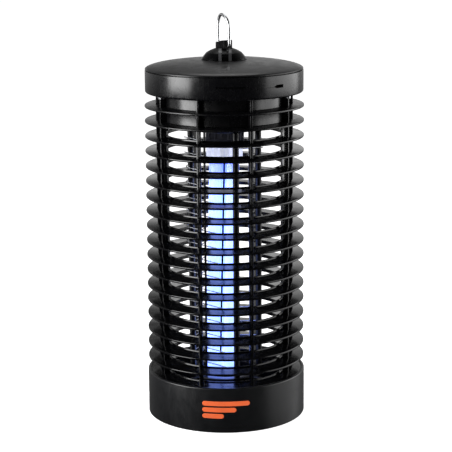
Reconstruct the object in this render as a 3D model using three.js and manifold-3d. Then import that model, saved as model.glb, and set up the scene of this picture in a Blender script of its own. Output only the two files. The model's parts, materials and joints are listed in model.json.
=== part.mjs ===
// Electric bug zapper: a louvred cage round a high-voltage grid and a twin-tube lamp, on a catch tray,
// under a cap that holds the electronics and a wire hanging bail. Millimetres, +Z up.
// The origin is under the middle of the tray.
import * as THREE from "three";
import { mergeVertices } from "three/addons/utils/BufferGeometryUtils.js";
import Module from "manifold-3d";

const wasm = await Module();
wasm.setup();

// Gaps between neighbouring pieces
const GAP = 0.3;

// Catch tray
const TRAY_RADIUS = 70.6;
const TRAY_HEIGHT = 40.3;
const TRAY_WALL = 2.4;
const TRAY_LIP_ROUNDING = 1.9;

// Cage: a foot ring that plugs the tray's mouth, upright posts, and flat louvres
const CAGE_RADIUS = 70;
const LOUVRE_PITCH = 13.3;
const LOUVRE_COUNT = 16;
const LOUVRE_THICKNESS = 1.75;
const LOUVRE_INNER_RADIUS = 51.4;
const LOWEST_LOUVRE_Z = 52.2;
const POST_ANGLES = [-67.5, -22.5, 0, 22.5, 62.5, 117.5, 157.5, 180, 202.5, 247.5];
const POST_INNER_RADIUS = 54.6;
const POST_OUTER_RADIUS = 60.4;
const POST_THICKNESS = 2.2;
const FOOT_SKIRT_DEPTH = 5;
const FOOT_SKIRT_WALL = 2.2;

// Spider that carries the grid at the bottom
const SPIDER_TOP_Z = 37.7;
const SPIDER_THICKNESS = 3;
const SPIDER_SPOKES = 4;
const SPOKE_WIDTH = 4;

// High-voltage grid
const GRID_RADIUS = 31.3;
const GRID_COLUMNS = 4;
const GRID_COLUMN_RADIUS = 2.75;
const GRID_TURN_FROM_FRONT = 17.7;
const GRID_RING_HALF_WIDTH = 3.9;
const GRID_TOP_RING_HEIGHT = 7.7;
const GRID_WIRE_RADIUS = 0.5;
const GRID_WIRE_CORNER_RADIUS = 37;
const GRID_WIRE_SPANS = 29; // straight stretches, one from each column to the next
const GUARD_ROD_RADIUS = 1;
const GUARD_ROD_PLACE = [-17.6, -22.3];

// Upper housing: a ribbed wall closed by a bulkhead, with two flat flanges round it
const HOUSING_RADIUS = 54.6;
const HOUSING_WALL = 2.2;
const HOUSING_BOTTOM_Z = LOWEST_LOUVRE_Z + LOUVRE_COUNT * LOUVRE_PITCH - LOUVRE_THICKNESS / 2;
const BULKHEAD_THICKNESS = 2.4;
const BULKHEAD_RISE = 1.9;
const BULKHEAD_HOLE_RADIUS = 21.6;

// Cap: rim, lid and hanger
const RIM_RADIUS = 69.4;
const RIM_BOTTOM_Z = 290;
const RIM_TOP_Z = 309.4;
const RIM_WALL = 2.4;
const RIM_HOLE_RADIUS = 48;
const LID_APEX_Z = 318.4;
const LID_WALL = 2.4;
const LID_EDGE_RADIUS = 3;
const LID_EDGE_TOP_Z = 313.6;
const LID_SKIRT_DEPTH = 4;
const BOSS_RADIUS = 20.4;
const BOSS_BASE_Z = 318;
const BOSS_SHOULDER_RADIUS = 15.6;
const BOSS_SHOULDER_Z = 324.2;
const BOSS_APEX_Z = 329;
const STEM_RADIUS = 8;
const NUT_THICKNESS = 5;
const NUT_WIDTH = 24;
const NUT_SIDES = 12;

// Hanging bail and the block that it pivots in, both turned from the front
const HANGER_TURN = 33;
const BLOCK_LENGTH = 14;
const BLOCK_WIDTH = 8.6;
const BLOCK_BACK_TOP_Z = 333;
const BLOCK_FRONT_TOP_Z = 335.4;
const BAIL_PIVOT_Z = 329.9;
const BAIL_WIRE_RADIUS = 1.3;
const BAIL_HALF_WIDTH = 8.65;
const BAIL_FRONT_ARCH_Z = 343.6; // where each straight leg turns into the arch
const BAIL_BACK_ARCH_Z = 348.3;
const BAIL_TOP_Z = 358;
const BAIL_PEAK_X = -3.5; // the arch's highest point, off centre towards the back leg
const BAIL_TIP_DEPTH = 4.5;
const BAIL_BEND_RADIUS = 2.2;

// Lamp: two straight glass tubes joined near the tip, in a moulded cap with two pins, leaning a little
const LAMP_TUBE_RADIUS = 6.2;
const LAMP_TUBE_SPACING = 14.2;
const LAMP_TIP_Z = 35.2;
const LAMP_BRIDGE_RADIUS = 4.4;
const LAMP_CAP_BOTTOM_Z = 230;
const LAMP_CAP_SIZE = [32, 17, 16];
const LAMP_TONGUE_SIZE = [10.4, 10.4, 13];
const LAMP_PIN_RADIUS = 1.2;
const LAMP_PIN_SPACING = 23;
const LAMP_PIN_LENGTH = 8;
const LAMP_TILT = 1.5;
const LAMP_TOP_X = -0.38;
const SOCKET_SIZE = [34, 22, 37.3];
const SOCKET_FLANGE_RADIUS = 26;

// Electronics in the cap
const BOARD_RADIUS = 50;
const BOARD_THICKNESS = 1.6;
const BOARD_Z = 293;
const SCREW_CIRCLE_RADIUS = 62.5;
const SCREW_RADIUS = 1.5;
const SCREW_HEAD_RADIUS = 2.8;
const SCREW_HEAD_HEIGHT = 2;
const SCREW_BOSS_RADIUS = 3.6;

const ROUND = 40; // segments of a large round piece
const FINE = 20; // segments of a small round piece

const rad = THREE.MathUtils.degToRad;
const at = (degrees, radius, z = 0) =>
  new THREE.Vector3(radius * Math.cos(rad(degrees)), radius * Math.sin(rad(degrees)), z);

// ---- Solids ----

// The solid of a closed geometry, for a cut or a join.
function solid(geometry) {
  const bare = geometry.clone();
  bare.deleteAttribute("normal");
  bare.deleteAttribute("uv");
  const merged = mergeVertices(bare, 1e-3);
  const mesh = new wasm.Mesh({
    numProp: 3,
    vertProperties: new Float32Array(merged.attributes.position.array),
    triVerts: new Uint32Array(merged.index.array),
  });
  return new wasm.Manifold(mesh);
}

// The geometry of a solid, with flat faces.
function geometryOf(made) {
  const mesh = made.getMesh();
  const geometry = new THREE.BufferGeometry();
  geometry.setAttribute("position", new THREE.BufferAttribute(new Float32Array(mesh.vertProperties), 3));
  geometry.setIndex(new THREE.BufferAttribute(new Uint32Array(mesh.triVerts), 1));
  geometry.computeVertexNormals();
  return geometry;
}

const cut = (geometry, ...tools) =>
  geometryOf(tools.reduce((made, tool) => made.subtract(solid(tool)), solid(geometry)));
const join = (geometry, ...others) =>
  geometryOf(others.reduce((made, other) => made.add(solid(other)), solid(geometry)));

// A body of revolution about Z from a profile of [radius, z] points. A profile off the axis closes on itself.
function turned(profile, segments = ROUND) {
  const points = profile.map(([radius, z]) => new THREE.Vector2(radius, z));
  if (THREE.ShapeUtils.isClockWise(points)) points.reverse();
  const onAxis = points.filter((point) => point.x === 0).length > 1;
  if (onAxis) {
    while (points[0].x !== 0 || points.at(-1).x !== 0) points.push(points.shift());
  } else {
    points.push(points[0].clone());
  }
  return new THREE.LatheGeometry(points, segments).rotateX(Math.PI / 2);
}

const ring = (inner, outer, bottom, top, segments = ROUND) =>
  turned([[inner, bottom], [outer, bottom], [outer, top], [inner, top]], segments);
const disc = (radius, bottom, top, segments = FINE) =>
  turned([[0, bottom], [radius, bottom], [radius, top], [0, top]], segments);
const box = (x, y, z, centre = [0, 0, 0]) => new THREE.BoxGeometry(x, y, z).translate(...centre);

// Points of an arc in a profile, as [radius, z].
function arc(centre, radius, fromDegrees, toDegrees, steps) {
  return Array.from({ length: steps + 1 }, (_, i) => {
    const angle = rad(fromDegrees + ((toDegrees - fromDegrees) * i) / steps);
    return [centre[0] + radius * Math.cos(angle), centre[1] + radius * Math.sin(angle)];
  });
}

// A round rod along a curve, with closed ends.
function rod(path, radius, steps, sides = 8) {
  const section = new THREE.Shape().absellipse(0, 0, radius, radius, 0, 2 * Math.PI);
  return new THREE.ExtrudeGeometry(section, {
    steps,
    curveSegments: sides,
    bevelEnabled: false,
    extrudePath: path,
  });
}

// ---- Materials ----

const matter = (color, roughness, metalness) =>
  new THREE.MeshStandardMaterial({ color, roughness, metalness });
const plastic = (color, roughness = 0.45) => matter(color, roughness, 0);
const metal = (color, roughness = 0.35) => matter(color, roughness, 1);
const BLACK = 0x161618;
const lampGlass = () =>
  new THREE.MeshStandardMaterial({ color: 0xdff4ff, roughness: 0.1, metalness: 0, emissive: 0x8fd0ff });

const zapper = new THREE.Group();
function add(name, geometry, material, parent = zapper) {
  const mesh = new THREE.Mesh(geometry, material);
  mesh.name = name;
  parent.add(mesh);
  return mesh;
}

// ---- Tray ----

function catchTray() {
  const inner = TRAY_RADIUS - TRAY_WALL;
  const lipCentre = [TRAY_RADIUS - TRAY_LIP_ROUNDING, TRAY_HEIGHT - TRAY_LIP_ROUNDING];
  return turned([
    [0, 0],
    [TRAY_RADIUS, 0],
    ...arc(lipCentre, TRAY_LIP_ROUNDING, 0, 90, 3),
    [inner, TRAY_HEIGHT],
    [inner, TRAY_WALL],
    [0, TRAY_WALL],
  ]);
}
add("base_tray", catchTray(), plastic(0x222426));

// ---- Cage ----

const louvreZ = (i) => LOWEST_LOUVRE_Z + i * LOUVRE_PITCH;
const footRingTop = louvreZ(-1) + LOUVRE_THICKNESS / 2;
const footRingBottom = footRingTop - LOUVRE_THICKNESS;
const skirtOuter = TRAY_RADIUS - TRAY_WALL - GAP;
const skirtInner = skirtOuter - FOOT_SKIRT_WALL;
add(
  "cage_foot_ring",
  turned([
    [LOUVRE_INNER_RADIUS, footRingBottom],
    [skirtInner, footRingBottom],
    [skirtInner, footRingTop - FOOT_SKIRT_DEPTH],
    [skirtOuter, footRingTop - FOOT_SKIRT_DEPTH],
    [skirtOuter, footRingTop],
    [LOUVRE_INNER_RADIUS, footRingTop],
  ]),
  plastic(BLACK),
);

const postBottom = footRingTop + GAP;
const postTop = HOUSING_BOTTOM_Z - GAP;
POST_ANGLES.forEach((angle, i) => {
  const depth = POST_OUTER_RADIUS - POST_INNER_RADIUS;
  const post = add(`cage_post_${i + 1}`, box(depth, POST_THICKNESS, postTop - postBottom), plastic(BLACK));
  post.position.copy(at(angle, (POST_OUTER_RADIUS + POST_INNER_RADIUS) / 2, (postTop + postBottom) / 2));
  post.rotation.z = rad(angle);
});

// A flat ring with a slot for each post.
function louvreShape() {
  const shape = new THREE.Shape();
  shape.absellipse(0, 0, CAGE_RADIUS, CAGE_RADIUS, 0, 2 * Math.PI);
  const opening = new THREE.Path();
  opening.absellipse(0, 0, LOUVRE_INNER_RADIUS, LOUVRE_INNER_RADIUS, 0, 2 * Math.PI);
  shape.holes.push(opening);
  const halfWidth = POST_THICKNESS / 2 + GAP;
  for (const angle of POST_ANGLES) {
    const corners = [
      [POST_INNER_RADIUS - GAP, -halfWidth],
      [POST_OUTER_RADIUS + GAP, -halfWidth],
      [POST_OUTER_RADIUS + GAP, halfWidth],
      [POST_INNER_RADIUS - GAP, halfWidth],
    ].map(([x, y]) => new THREE.Vector2(x, y).rotateAround(new THREE.Vector2(), rad(angle)));
    shape.holes.push(new THREE.Path(corners));
  }
  return shape;
}
const louvre = new THREE.ExtrudeGeometry(louvreShape(), {
  depth: LOUVRE_THICKNESS,
  curveSegments: 18, // an ellipse gets two points for each
  bevelEnabled: false,
});
for (let i = 0; i < LOUVRE_COUNT; i++) {
  const number = String(LOUVRE_COUNT - i).padStart(2, "0");
  const piece = add(`louvre_${number}`, louvre.clone(), plastic(BLACK));
  piece.position.z = louvreZ(i) - LOUVRE_THICKNESS / 2;
}

// ---- Grid ----

const gridRingInner = GRID_RADIUS - GRID_RING_HALF_WIDTH;
const gridRingOuter = GRID_RADIUS + GRID_RING_HALF_WIDTH;

function spider() {
  const bottom = SPIDER_TOP_Z - SPIDER_THICKNESS;
  const reach = skirtInner - GAP - GRID_RADIUS;
  const middle = [GRID_RADIUS + reach / 2, 0, SPIDER_TOP_Z - SPIDER_THICKNESS / 2];
  const spokes = Array.from({ length: SPIDER_SPOKES }, (_, i) =>
    box(reach, SPOKE_WIDTH, SPIDER_THICKNESS, middle).rotateZ(rad(45 + (i * 360) / SPIDER_SPOKES)),
  );
  return join(ring(gridRingInner, gridRingOuter, bottom, SPIDER_TOP_Z, 24), ...spokes);
}
add("grid_spider", spider(), plastic(BLACK));

const bulkheadBottom = HOUSING_BOTTOM_Z + BULKHEAD_RISE;
const topRingTop = bulkheadBottom - GAP;
const topRingBottom = topRingTop - GRID_TOP_RING_HEIGHT;
add("grid_top_ring", ring(gridRingInner, gridRingOuter, topRingBottom, topRingTop, 24), plastic(BLACK));

const columnBottom = SPIDER_TOP_Z + GAP;
const columnTop = topRingBottom - GAP;
const columnAngle = (i) => -90 + GRID_TURN_FROM_FRONT + (i * 360) / GRID_COLUMNS;
for (let i = 0; i < GRID_COLUMNS; i++) {
  const upright = disc(GRID_COLUMN_RADIUS, columnBottom, columnTop, 12);
  const column = add(`grid_column_${i + 1}`, upright, plastic(BLACK));
  column.position.copy(at(columnAngle(i), GRID_RADIUS));
}

// A thin upright at the left front, just outside the wires.
const guardRod = add("grid_guard_rod", disc(GUARD_ROD_RADIUS, columnBottom, columnTop, 8), plastic(BLACK));
guardRod.position.set(...GUARD_ROD_PLACE, 0);

// A wire wound round the columns: straight from one column to the next, rising evenly.
class GridWinding extends THREE.Curve {
  constructor(startZ, risePerTurn) {
    super();
    this.startZ = startZ;
    this.risePerTurn = risePerTurn;
  }
  getPoint(t, target = new THREE.Vector3()) {
    const corner = t * GRID_WIRE_SPANS;
    const before = Math.min(Math.floor(corner), GRID_WIRE_SPANS - 1);
    const cornerPoint = (n) =>
      at(columnAngle(-n), GRID_WIRE_CORNER_RADIUS, this.startZ + (n / GRID_COLUMNS) * this.risePerTurn);
    return target.lerpVectors(cornerPoint(before), cornerPoint(before + 1), corner - before);
  }
}
const windingPitch = 2 * LOUVRE_PITCH;
["grid_wire_a", "grid_wire_b"].forEach((name, i) => {
  const startZ = LOWEST_LOUVRE_Z - LOUVRE_PITCH / 2 + i * LOUVRE_PITCH;
  const path = new GridWinding(startZ, windingPitch);
  add(name, rod(path, GRID_WIRE_RADIUS, GRID_WIRE_SPANS, 3), metal(0xb8bcc0));
});

// ---- Upper housing ----

const housingTop = RIM_BOTTOM_Z - GAP;

function upperHousing() {
  const inner = HOUSING_RADIUS - HOUSING_WALL;
  const shell = turned([
    [inner, HOUSING_BOTTOM_Z],
    [HOUSING_RADIUS, HOUSING_BOTTOM_Z],
    [HOUSING_RADIUS, housingTop],
    [inner, housingTop],
    [inner, bulkheadBottom + BULKHEAD_THICKNESS],
    [BULKHEAD_HOLE_RADIUS, bulkheadBottom + BULKHEAD_THICKNESS],
    [BULKHEAD_HOLE_RADIUS, bulkheadBottom],
    [inner, bulkheadBottom],
  ]);
  const ribDepth = POST_OUTER_RADIUS - HOUSING_RADIUS + HOUSING_WALL / 2;
  const ribHeight = housingTop - HOUSING_BOTTOM_Z;
  const ribCentre = [POST_OUTER_RADIUS - ribDepth / 2, 0, HOUSING_BOTTOM_Z + ribHeight / 2];
  const ribs = POST_ANGLES.map((angle) =>
    box(ribDepth, POST_THICKNESS, ribHeight, ribCentre).rotateZ(rad(angle)),
  );
  return join(shell, ...ribs);
}
add("upper_housing", upperHousing(), plastic(BLACK));

// The two flat rings round the housing's wall, slotted for its ribs.
function housingFlange(bottom) {
  const plate = ring(HOUSING_RADIUS + GAP, CAGE_RADIUS, bottom, bottom + LOUVRE_THICKNESS);
  const slotDepth = 2 * (POST_OUTER_RADIUS + GAP - HOUSING_RADIUS);
  const slot = box(slotDepth, POST_THICKNESS + 2 * GAP, 3 * LOUVRE_THICKNESS, [HOUSING_RADIUS, 0, bottom]);
  return cut(plate, ...POST_ANGLES.map((angle) => slot.clone().rotateZ(rad(angle))));
}
for (const i of [0, 1]) {
  add(`housing_flange_${i + 1}`, housingFlange(HOUSING_BOTTOM_Z + i * LOUVRE_PITCH), plastic(BLACK));
}

// ---- Cap ----

const screwAngle = (i) => 90 + i * 120;
const screwPlace = (i, z) => at(screwAngle(i), SCREW_CIRCLE_RADIUS, z);
const screwPart = (i, radius, bottom, top) => disc(radius, bottom, top, 12).translate(...screwPlace(i, 0));
const inletAngle = 60;

function rim() {
  const shell = turned([
    [RIM_HOLE_RADIUS, RIM_BOTTOM_Z],
    [RIM_RADIUS - RIM_WALL / 2, RIM_BOTTOM_Z],
    [RIM_RADIUS, RIM_BOTTOM_Z + RIM_WALL / 2],
    [RIM_RADIUS, RIM_TOP_Z],
    [RIM_RADIUS - RIM_WALL, RIM_TOP_Z],
    [RIM_RADIUS - RIM_WALL, RIM_BOTTOM_Z + RIM_WALL],
    [RIM_HOLE_RADIUS, RIM_BOTTOM_Z + RIM_WALL],
  ]);
  const screwHoles = [0, 1, 2].map((i) =>
    screwPart(i, SCREW_RADIUS + GAP, RIM_BOTTOM_Z - 1, RIM_BOTTOM_Z + RIM_WALL + 1),
  );
  const inlet = disc(5, -10, 10, 16)
    .rotateY(Math.PI / 2)
    .translate(RIM_RADIUS, 0, (RIM_BOTTOM_Z + RIM_TOP_Z) / 2)
    .rotateZ(rad(inletAngle));
  return cut(shell, ...screwHoles, inlet);
}
add("top_rim", rim(), plastic(BLACK));

// Height of the lid's outer surface above a radius: one shallow dome.
const lidReach = RIM_RADIUS - LID_EDGE_RADIUS;
const lidSphere = (lidReach ** 2 + (LID_APEX_Z - LID_EDGE_TOP_Z) ** 2) / (2 * (LID_APEX_Z - LID_EDGE_TOP_Z));
const lidZ = (radius) => LID_APEX_Z - lidSphere + Math.sqrt(lidSphere ** 2 - radius ** 2);

function lid() {
  const seam = RIM_TOP_Z + GAP;
  const skirtRadius = RIM_RADIUS - RIM_WALL - GAP;
  const domeSteps = [1, 0.66, 0.33].map((share) => lidReach * share);
  const top = domeSteps.map((radius) => [radius, lidZ(radius)]);
  const under = domeSteps.map((radius) => [radius - LID_WALL, lidZ(radius) - LID_WALL]).reverse();
  const shell = turned([
    [STEM_RADIUS + GAP, lidZ(STEM_RADIUS) - LID_WALL],
    ...under,
    [skirtRadius - LID_WALL, seam - LID_SKIRT_DEPTH],
    [skirtRadius, seam - LID_SKIRT_DEPTH],
    [skirtRadius, seam],
    [RIM_RADIUS, seam],
    ...arc([lidReach, LID_EDGE_TOP_Z - LID_EDGE_RADIUS], LID_EDGE_RADIUS, 0, 60, 2),
    ...top,
    [STEM_RADIUS + GAP, lidZ(STEM_RADIUS)],
  ]);
  const bossBottom = RIM_BOTTOM_Z + RIM_WALL + GAP;
  const bossTop = lidZ(SCREW_CIRCLE_RADIUS) - LID_WALL / 2;
  const bosses = [0, 1, 2].map((i) => screwPart(i, SCREW_BOSS_RADIUS, bossBottom, bossTop));
  const bores = [0, 1, 2].map((i) => screwPart(i, SCREW_RADIUS + GAP, bossBottom - 1, bossTop - LID_WALL));
  return cut(join(shell, ...bosses), ...bores);
}
add("top_lid", lid(), plastic(0x1c1d1f));

for (let i = 0; i < 3; i++) {
  const headBottom = RIM_BOTTOM_Z - GAP - 2;
  const tip = RIM_BOTTOM_Z + 10;
  const screw = turned(
    [
      [0, headBottom],
      [SCREW_HEAD_RADIUS, headBottom],
      [SCREW_HEAD_RADIUS, headBottom + SCREW_HEAD_HEIGHT],
      [SCREW_RADIUS, headBottom + SCREW_HEAD_HEIGHT],
      [SCREW_RADIUS, tip],
      [0, tip],
    ],
    10,
  );
  add(`cap_screw_${i + 1}`, screw, metal(0x8d9094)).position.copy(screwPlace(i, 0));
}

// ---- Hanger ----

// The hanger's own frame: X along the bail's pivot, towards the front right.
const hanger = new THREE.Group();
hanger.rotation.z = rad(-90 + HANGER_TURN);
zapper.add(hanger);

function hangerBoss() {
  const capRise = BOSS_APEX_Z - BOSS_SHOULDER_Z;
  const capSphere = (BOSS_SHOULDER_RADIUS ** 2 + capRise ** 2) / (2 * capRise);
  const domeZ = (radius) => BOSS_APEX_Z - capSphere + Math.sqrt(capSphere ** 2 - radius ** 2);
  const capRadii = [1, 0.75, 0.5, 0.2].map((share) => BOSS_SHOULDER_RADIUS * share);
  const stemBottom = lidZ(STEM_RADIUS) - LID_WALL - NUT_THICKNESS - 2;
  const dome = turned(
    [
      [0, stemBottom],
      [STEM_RADIUS, stemBottom],
      [STEM_RADIUS, lidZ(STEM_RADIUS) + GAP],
      [BOSS_RADIUS - 1.5, lidZ(STEM_RADIUS) + GAP],
      [BOSS_RADIUS, BOSS_BASE_Z],
      ...capRadii.map((radius) => [radius, domeZ(radius)]),
      [0, domeZ(0)],
    ],
    28,
  );
  // The block's long upright faces, with a top that rises towards the front leg.
  const outline = new THREE.Shape();
  const blockBottom = BOSS_BASE_Z + 2;
  outline.moveTo(-BLOCK_LENGTH / 2, blockBottom);
  outline.lineTo(BLOCK_LENGTH / 2, blockBottom);
  outline.lineTo(BLOCK_LENGTH / 2, BLOCK_FRONT_TOP_Z);
  outline.lineTo(-BLOCK_LENGTH / 2, BLOCK_BACK_TOP_Z);
  const block = new THREE.ExtrudeGeometry(outline, { depth: BLOCK_WIDTH, bevelEnabled: false })
    .rotateX(Math.PI / 2)
    .translate(0, BLOCK_WIDTH / 2, 0);
  const pivotHole = disc(BAIL_WIRE_RADIUS + GAP, -BLOCK_LENGTH, BLOCK_LENGTH, 12)
    .rotateY(Math.PI / 2)
    .translate(0, 0, BAIL_PIVOT_Z);
  return cut(join(dome, block), pivotHole);
}
add("hanger_boss", hangerBoss(), plastic(0x0f0f10), hanger);

function hangerNut() {
  const top = lidZ(STEM_RADIUS) - LID_WALL - GAP;
  return ring(STEM_RADIUS + GAP, NUT_WIDTH / 2, top - NUT_THICKNESS, top, NUT_SIDES);
}
add("hanger_nut", hangerNut(), plastic(0xc8c8c4));

// The bail's wire: a tip in the block, a tight bend up, a straight leg, an arch, and the same down again.
function bailPath() {
  const bend = BAIL_BEND_RADIUS;
  const side = BAIL_HALF_WIDTH;
  const peakZ = BAIL_TOP_Z - BAIL_WIRE_RADIUS;
  const tipX = BLOCK_LENGTH / 2 - BAIL_TIP_DEPTH;
  const point = (x, z) => new THREE.Vector3(x, 0, z);
  const kappa = 0.5523;
  const halfPath = (sign) => {
    const archZ = sign > 0 ? BAIL_FRONT_ARCH_Z : BAIL_BACK_ARCH_Z;
    const inner = point(sign * (side - bend), BAIL_PIVOT_Z);
    const corner = point(sign * side, BAIL_PIVOT_Z);
    const outer = point(sign * side, BAIL_PIVOT_Z + bend);
    const shoulder = point(sign * side, archZ);
    const peak = point(BAIL_PEAK_X, peakZ);
    const rising = point(sign * side, archZ + kappa * (peakZ - archZ));
    const levelling = point(BAIL_PEAK_X + kappa * (sign * side - BAIL_PEAK_X), peakZ);
    return [
      [point(sign * tipX, BAIL_PIVOT_Z), inner],
      [inner, corner, outer],
      [outer, shoulder],
      [shoulder, rising, levelling, peak],
    ];
  };
  const curveOf = (points) =>
    points.length === 2
      ? new THREE.LineCurve3(...points)
      : points.length === 3
        ? new THREE.QuadraticBezierCurve3(...points)
        : new THREE.CubicBezierCurve3(...points);
  const path = new THREE.CurvePath();
  halfPath(1).forEach((points) => path.add(curveOf(points)));
  halfPath(-1)
    .reverse()
    .forEach((points) => path.add(curveOf([...points].reverse())));
  return path;
}
add("hanger_bail", rod(bailPath(), BAIL_WIRE_RADIUS, 48, 4), metal(0xc9ccce), hanger);

// ---- Lamp ----

// The lamp's own frame: origin at its cap's lower face, leaning about Y.
const lamp = new THREE.Group();
lamp.position.set(LAMP_TOP_X, 0, LAMP_CAP_BOTTOM_Z);
lamp.rotation.y = rad(LAMP_TILT);
zapper.add(lamp);

function lampTube() {
  const length = LAMP_CAP_BOTTOM_Z - GAP - LAMP_TIP_Z;
  const tipRadius = LAMP_TUBE_RADIUS;
  const tube = (side) =>
    turned(
      [
        [0, -length],
        ...arc([0, -length + tipRadius], tipRadius, -60, 0, 2),
        [LAMP_TUBE_RADIUS, -GAP],
        [0, -GAP],
      ],
      14,
    ).translate((side * LAMP_TUBE_SPACING) / 2, 0, 0);
  const bridge = disc(LAMP_BRIDGE_RADIUS, -LAMP_TUBE_SPACING / 2, LAMP_TUBE_SPACING / 2, 10)
    .rotateY(Math.PI / 2)
    .translate(0, 0, -length + tipRadius);
  return join(tube(-1), tube(1), bridge);
}
add("lamp_tube", lampTube(), lampGlass(), lamp);

function lampCap() {
  const [width, depth, height] = LAMP_CAP_SIZE;
  const [tongueWidth, tongueDepth, tongueHeight] = LAMP_TONGUE_SIZE;
  const body = box(width, depth, height, [0, 0, height / 2]);
  const tongue = box(tongueWidth, tongueDepth, tongueHeight, [0, 0, height + tongueHeight / 2 - 0.5]);
  const pinHoles = [-1, 1].map((side) =>
    disc(LAMP_PIN_RADIUS + GAP, height - 4, height + 1, 10).translate((side * LAMP_PIN_SPACING) / 2, 0, 0),
  );
  return cut(join(body, tongue), ...pinHoles);
}
add("lamp_cap", lampCap(), plastic(0xe6e6e2), lamp);
[-1, 1].forEach((side, i) => {
  const bottom = LAMP_CAP_SIZE[2] - 4 + GAP;
  const pin = disc(LAMP_PIN_RADIUS, bottom, bottom + LAMP_PIN_LENGTH, 10);
  add(`lamp_pin_${i + 1}`, pin, metal(0xd0b060), lamp).position.x = (side * LAMP_PIN_SPACING) / 2;
});

function lampSocket() {
  const [width, depth, height] = SOCKET_SIZE;
  const bottom = LAMP_CAP_SIZE[2] + GAP;
  const [tongueWidth, tongueDepth, tongueHeight] = LAMP_TONGUE_SIZE;
  const body = box(width, depth, height, [0, 0, bottom + height / 2]);
  const recess = box(tongueWidth + 1, tongueDepth + 1, tongueHeight + 2, [0, 0, bottom + tongueHeight / 2]);
  const pinHole = disc(LAMP_PIN_RADIUS + 0.5, bottom - 1, bottom + LAMP_PIN_LENGTH, 10);
  const pinHoles = [-1, 1].map((side) => pinHole.clone().translate((side * LAMP_PIN_SPACING) / 2, 0, 0));
  return cut(body, recess, ...pinHoles);
}
add("lamp_socket", lampSocket(), plastic(0x23242c), lamp);

// The retainer that clamps the socket on the bulkhead.
const retainerBottom = bulkheadBottom + BULKHEAD_THICKNESS + GAP;
const retainer = cut(
  disc(SOCKET_FLANGE_RADIUS, retainerBottom, retainerBottom + 2.4, 24),
  box(SOCKET_SIZE[0] + 1.6, SOCKET_SIZE[1] + 1, 20, [LAMP_TOP_X + 0.9, 0, retainerBottom]),
);
add("socket_retainer", retainer, plastic(0x2a2a2c));

// ---- Electronics ----

const boardTop = BOARD_Z + BOARD_THICKNESS;
add("circuit_board", disc(BOARD_RADIUS, BOARD_Z, boardTop, 32), plastic(0x1f5a34, 0.5));

function onBoard(name, geometry, material, x, y) {
  add(name, geometry, material).position.set(x, y, boardTop + GAP);
}
const part = (x, y, z) => box(x, y, z, [0, 0, z / 2]);
const can = (radius, height) => disc(radius, 0, height, 14);
onBoard("ballast_choke", part(34, 26, 12), metal(0x77797b, 0.6), -24, 0);
onBoard("grid_transformer", part(20, 18, 11), plastic(0x20242c), 24, -14);
onBoard("multiplier_capacitor", can(4.5, 9), plastic(0x2a56a8), 24, 10);

// The bush that the mains lead enters by, at the back of the rim.
function cordBush() {
  const profile = [[2.6, -4], [4.6, -4], [4.6, 2.2], [6.4, 2.2], [5.2, 5], [4.2, 9.5], [2.6, 9.5]];
  return turned(profile, 14).rotateY(Math.PI / 2);
}
const bush = add("cord_bush", cordBush(), plastic(0x101012, 0.7));
bush.position.copy(at(inletAngle, RIM_RADIUS - 1.2, (RIM_BOTTOM_Z + RIM_TOP_Z) / 2));
bush.rotation.z = rad(inletAngle);

export default zapper;
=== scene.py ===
"""Looks for the electric bug zapper: a louvred black lantern round a wound grid and a lit twin-tube lamp."""

import json
import math

import bmesh
import bpy
import numpy as np
from mathutils import Matrix, Vector

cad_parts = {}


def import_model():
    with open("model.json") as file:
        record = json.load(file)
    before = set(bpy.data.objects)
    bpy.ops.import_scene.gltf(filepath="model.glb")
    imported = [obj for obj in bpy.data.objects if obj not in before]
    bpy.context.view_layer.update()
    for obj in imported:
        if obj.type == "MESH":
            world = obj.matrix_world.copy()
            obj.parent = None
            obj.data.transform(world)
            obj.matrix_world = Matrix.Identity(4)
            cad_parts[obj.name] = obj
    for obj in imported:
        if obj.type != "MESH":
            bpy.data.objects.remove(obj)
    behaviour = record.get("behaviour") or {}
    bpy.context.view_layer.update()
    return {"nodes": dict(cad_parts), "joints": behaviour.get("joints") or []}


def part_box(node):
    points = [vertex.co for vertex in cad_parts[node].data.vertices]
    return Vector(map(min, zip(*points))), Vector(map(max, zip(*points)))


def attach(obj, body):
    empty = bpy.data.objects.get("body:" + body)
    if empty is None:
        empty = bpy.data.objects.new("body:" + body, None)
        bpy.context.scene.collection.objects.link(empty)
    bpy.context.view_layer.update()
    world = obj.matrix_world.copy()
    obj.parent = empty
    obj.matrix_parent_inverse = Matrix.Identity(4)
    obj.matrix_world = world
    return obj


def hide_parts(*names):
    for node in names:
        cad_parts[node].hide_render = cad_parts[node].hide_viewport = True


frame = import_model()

MM = 0.001
NODES = frame["nodes"]

# ---- Sizes, read from the frame, in metres ----

FLOOR_Z = 0.0
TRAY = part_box("base_tray")
TRAY_RADIUS, TRAY_TOP = TRAY[1].x, TRAY[1].z
LOUVRES = sorted(name for name in NODES if name.startswith("louvre_"))
POSTS = sorted(name for name in NODES if name.startswith("cage_post_"))
COLUMNS = sorted(name for name in NODES if name.startswith("grid_column_"))
LOUVRE_BOXES = [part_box(name) for name in LOUVRES]
LOUVRE_RADIUS = LOUVRE_BOXES[0][1].x
LOUVRE_THICKNESS = LOUVRE_BOXES[0][1].z - LOUVRE_BOXES[0][0].z
LOUVRE_PITCH = LOUVRE_BOXES[0][0].z - LOUVRE_BOXES[1][0].z
LOUVRE_INNER_RADIUS = 51.4 * MM
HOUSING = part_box("upper_housing")
HOUSING_WALL_RADIUS = 54.6 * MM
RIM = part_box("top_rim")
RIM_RADIUS = RIM[1].x
LID_EDGE_Z = RIM[1].z + 0.8 * MM
LID_APEX = 318.5 * MM
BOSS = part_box("hanger_boss")
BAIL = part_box("hanger_bail")
HANGER_TURN = math.radians(33)
GRID_RADIUS = 31.3 * MM
WIRE_CORNER_RADIUS = 37.0 * MM
COLUMN_RADIUS = 2.75 * MM
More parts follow.
